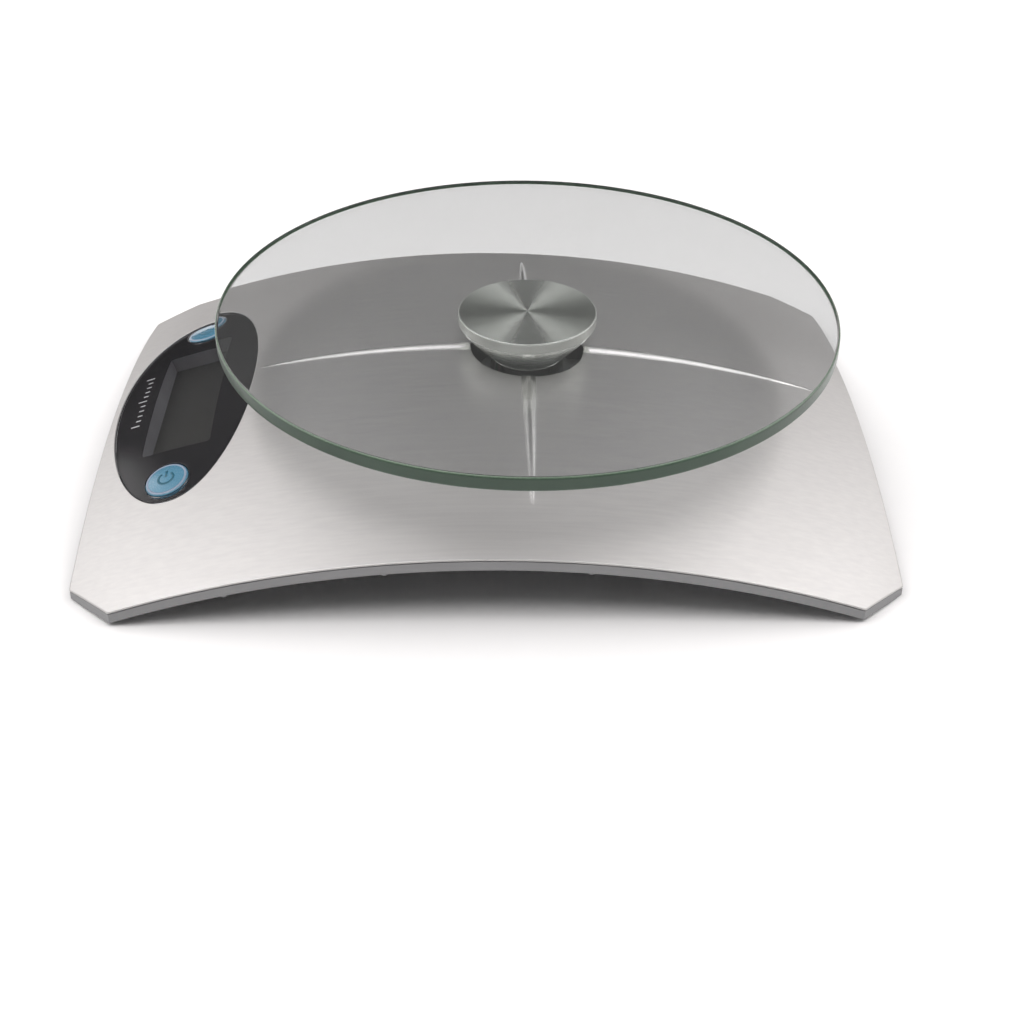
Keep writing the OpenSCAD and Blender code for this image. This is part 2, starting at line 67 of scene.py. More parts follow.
# Platter and hub
glass_low, glass_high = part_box("glass_platter")
disc_low, disc_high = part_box("hub_disc")
stem_low, stem_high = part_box("hub_stem")
hub_x = (glass_low.x + glass_high.x) / 2
glass_r = (glass_high.x - glass_low.x) / 2
disc_r = (disc_high.x - disc_low.x) / 2
stem_r = (stem_high.x - stem_low.x) / 2
GLASS_EDGE = 0.8 * MM
GLUE = 0.05 * MM
RIM_HEIGHT = 3.4 * MM
BOWL_POWER = 0.85
HOLE_R = 18.4 * MM
STEM_BORE = 2.5 * MM

# Embossed ridges: each one's direction about the platter's axis in degrees, and its reach from that axis
RIDGES = (
    (0, 97.6 * MM),
    (90, 80.6 * MM),
    (180, 88.4 * MM),
    (270, 75.3 * MM),
)
RIDGE_BASE = HOLE_R + 1.4 * MM
RIDGE_HALF = 2.9 * MM
RIDGE_TAPER = 0.96
RIDGE_HEIGHT = 1.4 * MM
RIDGE_FALL = 0.6
RIDGE_FOOT = 0.15 * MM

# Display: its frame has its origin on the dome, u along the base's length, v towards the rear
DISPLAY_X = -99.9 * MM
LENS_HALF = (24 * MM, 57.6 * MM)
LENS_T = 1.4 * MM
LENS_GAP = 0.15 * MM
MASK_TOP = 1.45 * MM
MASK_BOTTOM = 1.6 * MM
WINDOW = (23.2 * MM, 62.4 * MM)
BUTTON_U = -0.8 * MM
BUTTON_V = 47.1 * MM
BUTTON_R = 7.1 * MM
BUTTON_PROUD = 0.5 * MM
BUTTON_CROWN = 0.42 * MM
PRINT_T = 0.03 * MM
FLANGE_R = 7.9 * MM
FLANGE = (-7 * MM, -6.2 * MM)
LCD_TOP = -8 * MM
LCD_SIZE = (29 * MM, 70 * MM)
LCD_T = 2.2 * MM

# Feet and wires
FOOT_AT = (104 * MM, 78 * MM)
FOOT_R = 6 * MM
WIRE_R = 0.5 * MM

# Camera: its place, its lens and its sensor in millimetres, and where it points in degrees
CAMERA_AT = (-1.29 * MM, -470.43 * MM, 303.07 * MM)
CAMERA_LENS, CAMERA_SENSOR = 57.43, 36
CAMERA_PAN, CAMERA_TILT, CAMERA_ROLL = 1.224, -34.989, 0.49

# Modelling: the gap within which vertices are one, and the length of the load cell's slices
WELD = 0.002 * MM
SLICE = 2 * MM


# Where the battery's wires run, in millimetres
NEGATIVE_ROUTE = [(-50, 13.4, 9.7), (-56, 13.4, 12.5), (-72, 13.4, 16.5), (-80.6, 13.4, 17.3)]
POSITIVE_ROUTE = [(-35.6, 0, 6.2), (-34, 10, 8), (-35, 16, 12.5),
                  (-58, 16.4, 14), (-74, 16.4, 17.4), (-80.6, 16.4, 17.3)]


def sensor_route(y):
    """Where one of the load cell's wires runs, in millimetres."""
    bundled = y * 0.7
    return [(-3.8, y, 22.75), (-27, y, 22.75), (-42, bundled, 20), (-68, bundled, 18.6), (-80.6, y, 17.3)]


def dome_height(x, y, offset=0.0):
    """Height of the dome, grown by offset, above the table."""
    radius = DOME_RADIUS + offset
    return DOME_TOP - DOME_RADIUS + math.sqrt(radius * radius - x * x - y * y)


display_tilt = math.asin(-DISPLAY_X / DOME_RADIUS)
display_frame = (Matrix.Translation((DISPLAY_X, 0, dome_height(DISPLAY_X, 0)))
                 @ Matrix.Rotation(-display_tilt, 4, "Y"))


def display_height(u, v, depth=0.0):
    """Height, in the display's frame, of the surface that lies depth under the dome."""
    radius = DOME_RADIUS - depth
    return math.sqrt(radius * radius - u * u - v * v) - DOME_RADIUS


# ------------------------------------------------------------------ camera, floor and light

def aim_camera():
    """The camera stands in front of the scale and looks down on it."""
    pan, tilt, roll = (math.radians(a) for a in (CAMERA_PAN, CAMERA_TILT, CAMERA_ROLL))
    forward = Vector((math.sin(pan) * math.cos(tilt), math.cos(pan) * math.cos(tilt), math.sin(tilt)))
    level = Vector((math.cos(pan), -math.sin(pan), 0))
    upright = level.cross(forward)
    right = math.cos(roll) * level + math.sin(roll) * upright
    up = -math.sin(roll) * level + math.cos(roll) * upright
    camera = bpy.data.objects.new("camera", bpy.data.cameras.new("camera"))
    camera.data.sensor_width = CAMERA_SENSOR
    camera.data.lens = CAMERA_LENS
    camera.data.clip_start = 0.01
    camera.matrix_world = Matrix((right, up, -forward)).transposed().to_4x4()
    camera.location = CAMERA_AT
    bpy.context.scene.collection.objects.link(camera)
    bpy.context.scene.camera = camera


class Nodes:
    """Short ways to add nodes to a tree and to feed their sockets."""

    def __init__(self, tree):
        self.tree = tree

    def feed(self, socket, value):
        if isinstance(value, bpy.types.NodeSocket):
            self.tree.links.new(value, socket)
        else:
            socket.default_value = value

    def node(self, kind, values=None, **settings):
        made = self.tree.nodes.new("ShaderNode" + kind)
        for key, value in settings.items():
            setattr(made, key, value)
        for socket, value in (values or {}).items():
            self.feed(made.inputs[socket], value)
        return made

    def math(self, operation, a, b=0.0):
        return self.node("Math", {0: a, 1: b}, operation=operation).outputs[0]

    def product(self, value, *factors):
        for factor in factors:
            value = self.math("MULTIPLY", value, factor)
        return value

    def spread(self, value, low, high, start=0.3, end=0.7, shape="LINEAR"):
        """value, carried over from start..end to low..high, and held there."""
        ends = {"From Min": start, "From Max": end, "To Min": low, "To Max": high}
        return self.node("MapRange", {"Value": value, **ends}, interpolation_type=shape).outputs[0]

    def ease(self, value, low, high, start, end):
        """Like spread, with a gentle start and end."""
        return self.spread(value, low, high, start, end, "SMOOTHSTEP")

    def colours(self, value, stops):
        """The colour at value between stops, each a place from 0 to 1 and a colour."""
        made = self.node("ValToRGB", {"Fac": value})
        elements = made.color_ramp.elements
        while len(elements) < len(stops):
            elements.new(0.5)
        for element, (place, colour) in zip(elements, stops):
            element.position = place
            element.color = (*colour, 1)
        return made.outputs["Color"]


def light_world():
    """A studio: a pale ceiling, broad soft boxes at the sides, one overhead, and two strips behind.

    Each light is a product of fades, which depend on how far a direction goes to the side, rear and top."""
    world = bpy.data.worlds.new("studio")
    bpy.context.scene.world = world
    world.use_nodes = True
    nodes = Nodes(world.node_tree)
    ease = nodes.ease
    background = world.node_tree.nodes["Background"]
    parts = nodes.node("SeparateXYZ", {0: nodes.node("TexCoord").outputs["Generated"]})
    side = nodes.math("ABSOLUTE", parts.outputs["X"])
    rear, up = parts.outputs["Y"], parts.outputs["Z"]
    low_ceiling = nodes.product(ease(up, 0.03, 0.38, 0.02, 0.77), ease(rear, 0.3, 1.0, -0.82, 0.11))
    high_ceiling = ease(up, 0.0, 0.35, 0.76, 0.93)
    ceiling = nodes.product(nodes.math("ADD", low_ceiling, high_ceiling), ease(side, 0.8, 1.0, 0.04, 0.15))
    boxes = nodes.product(ease(side, 0.0, 1.76, 0.15, 0.62), ease(up, 0.0, 1.0, -0.05, 0.15),
                          ease(rear, 0.0, 1.0, -0.36, -0.06), ease(rear, 1.0, 0.0, 0.31, 0.64))
    above = nodes.product(ease(up, 0.0, 2.2, 0.6, 0.75), ease(rear, 1.0, 0.0, -0.12, 0.0),
                          ease(rear, 0.0, 1.0, -0.56, -0.43), ease(side, 0.6, 1.15, 0.06, 0.2))
    strips = nodes.product(ease(side, 0.0, 1.5, 0.5, 0.6), ease(rear, 0.0, 1.0, 0.5, 0.62),
                           ease(rear, 1.0, 0.0, 0.7, 0.78), ease(up, 0.0, 1.0, 0.2, 0.3))
    light = nodes.math("ADD", nodes.math("ADD", ceiling, boxes), nodes.math("ADD", above, strips))
    nodes.feed(background.inputs["Strength"], light)
    background.inputs["Color"].default_value = (1.0, 0.978, 0.975, 1)


def add_lamp(name, place, size, power):
    """A round soft lamp that points at the origin."""
    lamp = bpy.data.objects.new(name, bpy.data.lights.new(name, "AREA"))
    lamp.data.shape = "DISK"
    lamp.data.size = size
    lamp.data.energy = power
    lamp.location = place
    lamp.rotation_euler = (-Vector(place)).to_track_quat("-Z", "Y").to_euler()
    bpy.context.scene.collection.objects.link(lamp)


def lay_floor():
    side = 3.0
    corners = [(-side, -side, 0), (side, -side, 0), (side, side, 0), (-side, side, 0)]
    floor = mesh_object("floor", corners, [(0, 1, 2, 3)])
    floor.data.materials.append(paint_floor())


# ------------------------------------------------------------------ mesh helpers

def mesh_object(name, points, faces, smooth=True):
    mesh = bpy.data.meshes.new(name)
    mesh.from_pydata([tuple(p) for p in points], [], faces)
    if smooth:
        mesh.shade_smooth()
    made = bpy.data.objects.new(name, mesh)
    bpy.context.scene.collection.objects.link(made)
    return made


def add_piece(name, shape, material, body, replaced=(), place=None):
    """A closed piece from (points, faces), which rides on its body and stands for the named CAD nodes.

    place, if there is one, is the frame that the points are in."""
    points, faces = shape
    if place is not None:
        points = [place @ Vector(p) for p in points]
    made = mesh_object(name, points, faces)
    face_outwards(made)
    made.data.materials.append(material)
    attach(made, body)
    if replaced:
        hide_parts(*replaced)
    return made


def face_outwards(made):
    mesh = bmesh.new()
    mesh.from_mesh(made.data)
    bmesh.ops.recalc_face_normals(mesh, faces=mesh.faces)
    mesh.to_mesh(made.data)
    mesh.free()


def join(shapes):
    """Several (points, faces) as one."""
    points, faces = [], []
    for more_points, more_faces in shapes:
        start = len(points)
        points += more_points
        faces += [tuple(start + i for i in face) for face in more_faces]
    return points, faces


def skin(rings, closed=False):
    """Quads between rings of equally many points, closed at its ends. A ring of one point is a pole."""
    points = [Vector(p) for ring in rings for p in ring]
    starts = [sum(len(r) for r in rings[:i]) for i in range(len(rings))]
    faces = []
    pairs = list(zip(range(len(rings)), range(1, len(rings))))
    if closed:
        pairs.append((len(rings) - 1, 0))
    for a, b in pairs:
        count = max(len(rings[a]), len(rings[b]))
        for k in range(count):
            k2 = (k + 1) % count
            lower = [starts[a] + k, starts[a] + k2] if len(rings[a]) > 1 else [starts[a]]
            upper = [starts[b] + k2, starts[b] + k] if len(rings[b]) > 1 else [starts[b]]
            faces.append(tuple(lower + upper))
    if not closed:
        if len(rings[0]) > 1:
            faces.append(tuple(reversed(range(len(rings[0])))))
        if len(rings[-1]) > 1:
            faces.append(tuple(range(starts[-1], len(points))))
    return points, faces


def rounded(corners, steps=4, support=0.12 * MM):
    """A line through corners (a, b, radius), with each corner that has a radius turned into an arc.

    A point just before and after each arc keeps the flats beside it flat when shaded smooth."""
    line = []
    for i, (a, b, radius) in enumerate(corners):
        here = Vector((a, b))
        if radius == 0:
            line.append(here)
            continue
        before = (Vector(corners[i - 1][:2]) - here).normalized()
        after = (Vector(corners[(i + 1) % len(corners)][:2]) - here).normalized()
        half = before.angle(after) / 2
        reach = radius / math.tan(half)
        centre = here + (before + after).normalized() * (radius / math.sin(half))
        start, end = here + before * reach, here + after * reach
        line.append(start + before * support)
        from_angle = math.atan2(*(start - centre).yx)
        turn = math.atan2(*(end - centre).yx) - from_angle
        turn = (turn + math.pi) % TAU - math.pi
        for k in range(steps + 1):
            angle = from_angle + turn * k / steps
            line.append(centre + radius * Vector((math.cos(angle), math.sin(angle))))
        line.append(end + after * support)
    return line


def lathe(profile, centre=(0, 0), segments=96):
    """A turned shape about an upright axis at centre, from (radius, height) points."""
    rings = []
    for radius, height in profile:
        on_axis = radius < 1e-7
        if on_axis:
            rings.append([(centre[0], centre[1], height)])
        else:
            rings.append([(centre[0] + radius * math.cos(TAU * k / segments),
                           centre[1] + radius * math.sin(TAU * k / segments), height)
                          for k in range(segments)])
    closed = len(rings[0]) > 1 and len(rings[-1]) > 1
    return skin(rings, closed)


def rounded_loop(corners, radius, inset, spacing, arc_steps=4):
    """Points round a convex outline with rounded corners, moved in by inset.

    Their number is the same for every inset."""
    corners = [Vector(c) for c in corners]
    count = len(corners)
    edges = [corners[(i + 1) % count] - corners[i] for i in range(count)]
    normals = [Vector((e.y, -e.x)).normalized() for e in edges]
    arcs = []
    for i, corner in enumerate(corners):
        before, after = normals[i - 1], normals[i]
        centre = corner - (before + after) * (radius / (1 + before.dot(after)))
        start = math.atan2(before.y, before.x)
        turn = math.acos(max(-1, min(1, before.dot(after))))
        angles = [start + turn * k / arc_steps for k in range(arc_steps + 1)]
        arcs.append([centre + (radius - inset) * Vector((math.cos(a), math.sin(a))) for a in angles])
    loop = []
    for i, arc in enumerate(arcs):
        loop += arc
        following = arcs[(i + 1) % count][0]
        parts = max(1, round(edges[i].length / spacing))
        loop += [arc[-1].lerp(following, k / parts) for k in range(1, parts)]
    return loop


def oval_loop(centre, half, inset, count):
    """Points round an ellipse, moved in by inset along its normals."""
    loop = []
    for k in range(count):
        c, s = math.cos(TAU * k / count), math.sin(TAU * k / count)
        normal = Vector((c / half[0], s / half[1])).normalized()
        loop.append(Vector((centre[0] + half[0] * c, centre[1] + half[1] * s)) - normal * inset)
    return loop


def rolled_edge(thickness, radius, steps=3):
    """How far in from the outline, and how deep, each ring of a plate's rounded edge lies."""
    top = [(radius * (1 - math.sin(a)), radius * (1 - math.cos(a)))
           for a in (math.pi / 2 * k / steps for k in range(steps + 1))]
    bottom = [(inset, thickness - depth) for inset, depth in reversed(top)]
    if top[-1][1] > bottom[0][1] - 1e-9:
        bottom = bottom[1:]
    return top + bottom


def plate(outline, holes, inside, edge, lift, support=0.15 * MM):
    """A closed plate with holes. outline and holes give a loop of points for an inset into its material.

    inside holds more points of its plan, edge comes from rolled_edge, and lift(x, y, depth) is the height.
    One more loop of points at support from each edge keeps the flats flat when shaded smooth."""
    loops = [outline, *holes]
    flat = [loop(edge[0][0]) for loop in loops]
    plan = [p for loop in flat for p in loop]
    owner = [i for i, loop in enumerate(flat) for _ in loop]
    rims = []
    for loop in flat:
        start = sum(len(l) for l in flat[:len(rims)])
        rims.append([start + k for k in range(len(loop))])
    constraints = [(rim[k], rim[(k + 1) % len(rim)]) for rim in rims for k in range(len(rim))]
    for loop in loops:
        plan += loop(edge[0][0] + support)
    plan += inside
    owner += [-1] * (len(plan) - len(owner))
    plan = [Vector(p) for p in plan]
    found, _, triangles, origins, _, _ = delaunay_2d_cdt(plan, constraints, [], 1, 1e-8)
    first = [o[0] for o in origins]
    kept = [t for t in triangles if not (owner[first[t[0]]] > 0
                                         and len({owner[first[i]] for i in t}) == 1)]
    place = {o: i for i, group in enumerate(origins) for o in group}
    points = [Vector((p.x, p.y, lift(p.x, p.y, 0.0))) for p in found]
    faces = [tuple(t) for t in kept]
    depth = edge[-1][1]
    below = len(points)
    points += [Vector((p.x, p.y, lift(p.x, p.y, depth))) for p in found]
    faces += [tuple(below + i for i in reversed(t)) for t in kept]
    for loop, rim in zip(loops, rims):
        rings = [[place[i] for i in rim]]
        for inset, drop in edge[1:-1]:
            start = len(points)
            ring = loop(inset)
            points += [Vector((p.x, p.y, lift(p.x, p.y, drop))) for p in ring]
            rings.append(list(range(start, start + len(ring))))
        rings.append([below + place[i] for i in rim])
        for a, b in zip(rings, rings[1:]):
            faces += [(a[k], a[(k + 1) % len(a)], b[(k + 1) % len(a)], b[k]) for k in range(len(a))]
    return points, faces


def slab(low, high, corner=0.5 * MM, edge=0.15 * MM, spacing=4 * MM):
    """A flat block between two corners, with rounded edges."""
    corners = [(high[0], low[1]), (high[0], high[1]), (low[0], high[1]), (low[0], low[1])]

    def outline(inset):
        return rounded_loop(corners, corner, inset, spacing)

    def lift(x, y, depth):
        return high[2] - depth

    return plate(outline, [], [], rolled_edge(high[2] - low[2], edge), lift)


def printed(outline, holes, lift):
    """A thin raised print, from loops of points, on the surface lift(x, y, depth)."""
    loops = [lambda inset, points=points: [Vector(p) for p in points] for points in (outline, *holes)]
    return plate(loops[0], loops[1:], [], [(0.0, 0.0), (0.0, PRINT_T)], lift)


def arc(centre, radius, start, end, steps=24):
    """Points along part of a circle, from start to end in degrees."""
    angles = [math.radians(start + (end - start) * k / steps) for k in range(steps + 1)]
    return [(centre[0] + radius * math.cos(a), centre[1] + radius * math.sin(a)) for a in angles]


def grid(low, high, spacing, keep):
    """Staggered points between two corners, those for which keep(x, y) holds."""
    row = spacing * 0.87
    rows = int((high[1] - low[1]) / row) + 1
    columns = int((high[0] - low[0]) / spacing) + 1
    places = [(low[0] + spacing * (i + 0.5 * (j % 2)), low[1] + row * j)
              for j in range(rows) for i in range(columns)]
    return [Vector(p) for p in places if keep(*p)]


def tube(path, radius, sides=16):
    """A round wire with flat ends along a path of points."""
    rings = []
    for i, here in enumerate(path):
        along = (path[min(i + 1, len(path) - 1)] - path[max(i - 1, 0)]).normalized()
        side = along.cross(Vector((0, 0, 1))).normalized()
        up = side.cross(along)
        angles = [TAU * k / sides for k in range(sides)]
        rings.append([here + radius * (math.cos(a) * side + math.sin(a) * up) for a in angles])
    return skin(rings)


def smooth_path(points, steps=6):
    """A Catmull-Rom curve through points, which are in millimetres."""
    points = [Vector(p) * MM for p in points]
    path = []
    for i in range(len(points) - 1):
        a, b, c, d = (points[max(0, min(len(points) - 1, i + k))] for k in (-1, 0, 1, 2))
        for t in (k / steps for k in range(steps)):
            path.append((2 * b + (c - a) * t + (2 * a - 5 * b + 4 * c - d) * t * t
                         + (3 * b - a - 3 * c + d) * t * t * t) / 2)
    return path + [points[-1]]


# ------------------------------------------------------------------ materials

class Paint(Nodes):
    """A material with one Principled shader. Constants go straight on the shader's own sockets."""

    def __init__(self, name, **constants):
        self.material = bpy.data.materials.new(name)
        self.material.use_nodes = True
        super().__init__(self.material.node_tree)
        self.shader = self.tree.nodes["Principled BSDF"]
        for key, value in constants.items():
            self.set(key.replace("_", " ").title().replace("Ior", "IOR"), value)

    def set(self, socket, value):
        if isinstance(value, tuple) and len(value) == 3 and socket != "Normal":
            value = (*value, 1)
        self.feed(self.shader.inputs[socket], value)

    def place(self):
        return self.node("TexCoord").outputs["Object"]

    def noise(self, size, stretch=(1, 1, 1), detail=3.0, roughness=0.5):
        """Noise with features about size across; a stretch below 1 draws them out along that axis."""
        spot = self.node("Mapping", {"Vector": self.place(), "Scale": stretch}).outputs[0]
        return self.node("TexNoise", {"Vector": spot, "Scale": 1 / size, "Detail": detail,
                                      "Roughness": roughness}).outputs["Fac"]

    def tones(self, value, dark, light):
        """The base colour, from dark to light, as value goes from 0.3 to 0.7."""
        self.set("Base Color", self.colours(value, [(0.3, dark), (0.7, light)]))

    def mottle(self, value, colour, spread):
        """The base colour, which strays from colour by the share spread."""
        self.tones(value, [c * (1 - spread) for c in colour], [min(1, c * (1 + spread)) for c in colour])

    def bump(self, height, depth):
        self.set("Normal", self.node("Bump", {"Height": height, "Distance": depth}).outputs[0])


def moulded(name, colour, roughness, spread=0.12, grain=0.35 * MM, depth=0.006 * MM, **constants):
    """Moulded plastic or rubber: a fine spark-eroded grain, and slow changes of colour and gloss."""
    paint = Paint(name, **constants)
    fine = paint.noise(grain, detail=4)
    paint.mottle(paint.noise(14 * MM), colour, spread)
    paint.set("Roughness", paint.spread(fine, roughness - 0.06, roughness + 0.06))
    paint.bump(fine, depth)
    return paint.material


def metal(name, colour, roughness, grain=(1, 1, 1), size=0.5 * MM, depth=0.002 * MM):
    """Bare or plated metal, with tool marks of about a size, drawn out along an axis if grain says so."""
    paint = Paint(name, metallic=1.0)
    marks = paint.noise(size, grain, detail=4)
    paint.mottle(paint.noise(9 * MM), colour, 0.08)
    paint.set("Roughness", paint.spread(marks, roughness - 0.07, roughness + 0.07))
    paint.bump(marks, depth)
    return paint.material


def paint_floor():
    return moulded("floor_paper", (0.93, 0.93, 0.93), 0.7, spread=0.004, grain=0.6 * MM)


def paint_cover():
    """Stainless sheet, brushed along its length, which spreads the light across the brushing."""
    paint = Paint("brushed_stainless", metallic=1.0, anisotropic=0.85, specular_tint=(0.32, 0.32, 0.32))
    lines = paint.noise(0.12 * MM, (0.012, 1, 1), detail=5, roughness=0.65)
    broad = paint.noise(1.2 * MM, (0.02, 1, 1), detail=3)
    clouds = paint.noise(45 * MM, (0.7, 1, 1), detail=2)
    paint.tones(broad, (0.60, 0.59, 0.585), (0.64, 0.63, 0.62))
    rough = paint.math("ADD", paint.spread(lines, 0.38, 0.46), paint.spread(clouds, -0.015, 0.015))
    paint.set("Roughness", rough)
    paint.bump(lines, 0.0012 * MM)
    paint.set("Tangent", paint.node("CombineXYZ", {0: 0.0, 1: 1.0, 2: 0.0}).outputs[0])
    return paint.material


def paint_ridge():
    """The embossed ridges: smoother steel than the brushed sheet, with no brushing on their flanks, and a
    much lighter base colour than the sheet's, which is a painted highlight along the ridges.
    """
    paint = Paint("ridge_steel_painted_highlight", metallic=1.0)
    fine = paint.noise(0.15 * MM, (0.1, 1, 1), detail=4)
    # Base colour far lighter than the sheet's 0.60 to 0.64: a painted highlight on the ridges.
    paint.tones(paint.noise(5 * MM), (0.84, 0.83, 0.82), (0.90, 0.89, 0.88))
    paint.set("Roughness", paint.spread(fine, 0.21, 0.27))
    paint.bump(fine, 0.001 * MM)
    return paint.material


def paint_turned(name, star):
    """Steel turned on a lathe: fine rings about the axis, which spread the light across them.

    With a star, four of eight sectors are polished finer, the front and rear ones the most."""
    paint = Paint(name, metallic=1.0, anisotropic=1.0 if star else 0.6, anisotropic_rotation=0.25)
    middle = paint.node("Mapping", {"Vector": paint.place(), "Location": (-hub_x, 0, 0)}).outputs[0]
    parts = paint.node("SeparateXYZ", {0: middle})
    across, deep = parts.outputs["X"], parts.outputs["Y"]
    squares = [paint.math("POWER", part, 2.0) for part in (across, deep)]
    radius = paint.math("SQRT", paint.math("ADD", *squares))
    rings = paint.node("TexNoise", {"W": radius, "Scale": 1 / (0.25 * MM), "Detail": 4.0},
                       noise_dimensions="1D").outputs["Fac"]
    paint.tones(rings, (0.75, 0.77, 0.73), (0.81, 0.83, 0.79))
    polish = 0.26
    if star:
        angle = paint.math("ARCTAN2", deep, across)
        four_ways = paint.math("COSINE", paint.product(angle, 4.0))
        two_ways = paint.math("COSINE", paint.product(angle, 2.0))
        polish = paint.math("ADD", paint.ease(four_ways, 0.46, 0.22, -0.8, 1.0),
                            paint.ease(two_ways, 0.0, 0.14, 0.2, 1.0))
    paint.set("Roughness", paint.math("ADD", polish, paint.spread(rings, -0.03, 0.03)))
    paint.bump(rings, 0.001 * MM)
    paint.set("Tangent", paint.node("Tangent", direction_type="RADIAL", axis="Z").outputs[0])
    return paint.material


def paint_glass_edge():
    """The ground edge of the platter, where the glass shows its green."""
    paint = Paint("glass_edge", ior=1.45, coat_weight=0.3, coat_roughness=0.08)
    fine = paint.noise(0.4 * MM, (1, 1, 0.3), detail=3)
    paint.tones(paint.noise(11 * MM), (0.024, 0.052, 0.032), (0.032, 0.066, 0.040))
    paint.set("Roughness", paint.spread(fine, 0.3, 0.42))
    paint.bump(fine, 0.003 * MM)
    return paint.material


def paint_glass_bevel():
    """The polished corners of the platter's edge, painted a lighter green than the edge itself: a painted
    highlight round the platter's rim.
    """
    paint = Paint("glass_bevel", ior=1.45, coat_weight=0.4, coat_roughness=0.05)
    fine = paint.noise(0.4 * MM, detail=3)
    # A lighter green than the edge's, painted on as a highlight along the bevels.
    paint.tones(paint.noise(9 * MM), (0.085, 0.135, 0.090), (0.110, 0.165, 0.112))
    paint.set("Roughness", paint.spread(fine, 0.22, 0.34))
    paint.bump(fine, 0.002 * MM)
    return paint.material


def paint_panel():
    """The blank face of the liquid crystal panel: olive grey, and a little lighter towards the front."""
    paint = Paint("panel_film", ior=1.3)
    deep = paint.node("SeparateXYZ", {0: paint.place()}).outputs["Y"]
    fade = paint.spread(deep, 0.75, 0.25, -LCD_SIZE[1] / 2, LCD_SIZE[1] / 2)
    tone = paint.math("ADD", fade, paint.spread(paint.noise(6 * MM), -0.1, 0.1))
    dark, light = (0.014, 0.014, 0.0135), (0.024, 0.024, 0.021)
    paint.set("Base Color", paint.colours(tone, [(0.2, dark), (0.8, light)]))
    fine = paint.noise(0.15 * MM, detail=2)
    paint.set("Roughness", paint.spread(fine, 0.25, 0.35))
    paint.bump(fine, 0.0008 * MM)
    return paint.material


def clear(name, tint, ior, absorb, density):
    """Clear glass or acrylic that lets lamps shine through, and takes on absorb's colour as it gets thick."""
    paint = Paint(name, base_color=tint, transmission_weight=1.0, ior=ior)
    paint.set("Roughness", paint.spread(paint.noise(15 * MM), 0.0, 0.012))
    paint.bump(paint.noise(30 * MM, detail=1), 0.004 * MM)
    through = paint.node("BsdfTransparent", {"Color": (*(0.5 + 0.45 * t for t in tint), 1)})
    is_lamp = paint.node("LightPath").outputs["Is Shadow Ray"]
    mixed = paint.node("MixShader", {0: is_lamp, 1: paint.shader.outputs[0], 2: through.outputs[0]})
    volume = paint.node("VolumeAbsorption", {"Color": (*absorb, 1), "Density": density})
    output = paint.tree.nodes["Material Output"]
    paint.feed(output.inputs["Surface"], mixed.outputs[0])
    paint.feed(output.inputs["Volume"], volume.outputs[0])
    return paint.material


# ------------------------------------------------------------------ top cover

def base_outline(inset):
    x, y = base_high.x, base_high.y
    cx, cy = CORNER_CUT
    corners = [(x, -y + cy), (x, y - cy), (x - cx, y), (-x + cx, y),
               (-x, y - cy), (-x, -y + cy), (-x + cx, -y), (x - cx, -y)]
    return rounded_loop(corners, CORNER_ROUND, inset, 2 * MM)


def display_plan(u, v):
    spot = display_frame @ Vector((u, v, display_height(u, v)))
    return Vector((spot.x, spot.y))


def ridge_place(x, y, angle):
    """A plan point along and across a ridge's direction."""
    turn = math.radians(angle)
    dx = x - hub_x
    return dx * math.cos(turn) + y * math.sin(turn), -dx * math.sin(turn) + y * math.cos(turn)


def ridge_width(share):
    """Half a ridge's width, at a share of its length."""
    return RIDGE_HALF * math.sqrt(1 - RIDGE_TAPER * max(0.0, min(1.0, share)))


def ridge_rise(x, y):
    """How far the ridges lift the sheet: all of their height near the hole, and nothing at the tip."""
    rise = 0.0
    for angle, reach in RIDGES:
        along, across = ridge_place(x, y, angle)
        share = (along - RIDGE_BASE) / (reach - RIDGE_BASE)
        if share > 1 or along < 0 or abs(across) > RIDGE_HALF:
            continue
        before = min(0.0, along - RIDGE_BASE)
        out = math.hypot(before, across) / ridge_width(share)
        if out < 1:
            crest = RIDGE_HEIGHT * (1 - max(share, 0)) ** RIDGE_FALL
            rise = max(rise, crest * (0.5 + 0.5 * math.cos(math.pi * out)))
    return rise


def ridge_points():
    """Rows of plan points across each ridge, close enough to shape its flanks."""
    places = []
    step = 1.1 * MM
    past_tip = 2 * MM
    least_half = 0.7 * MM
    shares = (-1.25, -1, -0.82, -0.64, -0.46, -0.3, -0.15, 0, 0.15, 0.3, 0.46, 0.64, 0.82, 1, 1.25)
    for angle, reach in RIDGES:
        turn = math.radians(angle)
        rows = int((reach + past_tip - HOLE_R) / step)
        for i in range(rows + 1):
            along = HOLE_R + i * step
            half = max(ridge_width((along - RIDGE_BASE) / (reach - RIDGE_BASE)), least_half)
            for share in shares:
                across = share * half
                places.append(Vector((hub_x + along * math.cos(turn) - across * math.sin(turn),
                                      along * math.sin(turn) + across * math.cos(turn))))
    return places


def clear_of_holes(x, y, margin):
    """True if a plan point is at least margin away from the cover's two holes."""
    u = (x - DISPLAY_X) / math.cos(display_tilt)
    return (math.hypot(x - hub_x, y) > HOLE_R + margin
            and math.hypot(u / (LENS_HALF[0] + margin), y / (LENS_HALF[1] + margin)) > 1.02)


def open_ground(x, y):
    """True where the cover's plan is clear of its edges, its cut corners, its holes and its ridges."""
    margin = 1.6 * MM
    corner_margin = 1.15
    past_tip = 2.6 * MM
    beside = RIDGE_HALF * 1.25 + 0.8 * MM
    from_end, from_side = base_high.x - abs(x), base_high.y - abs(y)
    if abs(x) > base_high.x - margin or abs(y) > base_high.y - margin:
        return False
    if from_end / CORNER_CUT[0] + from_side / CORNER_CUT[1] < corner_margin:
        return False
    if not clear_of_holes(x, y, margin):
        return False
    for angle, reach in RIDGES:
        along, across = ridge_place(x, y, angle)
        if HOLE_R < along < reach + past_tip and abs(across) < beside:
            return False
    return True


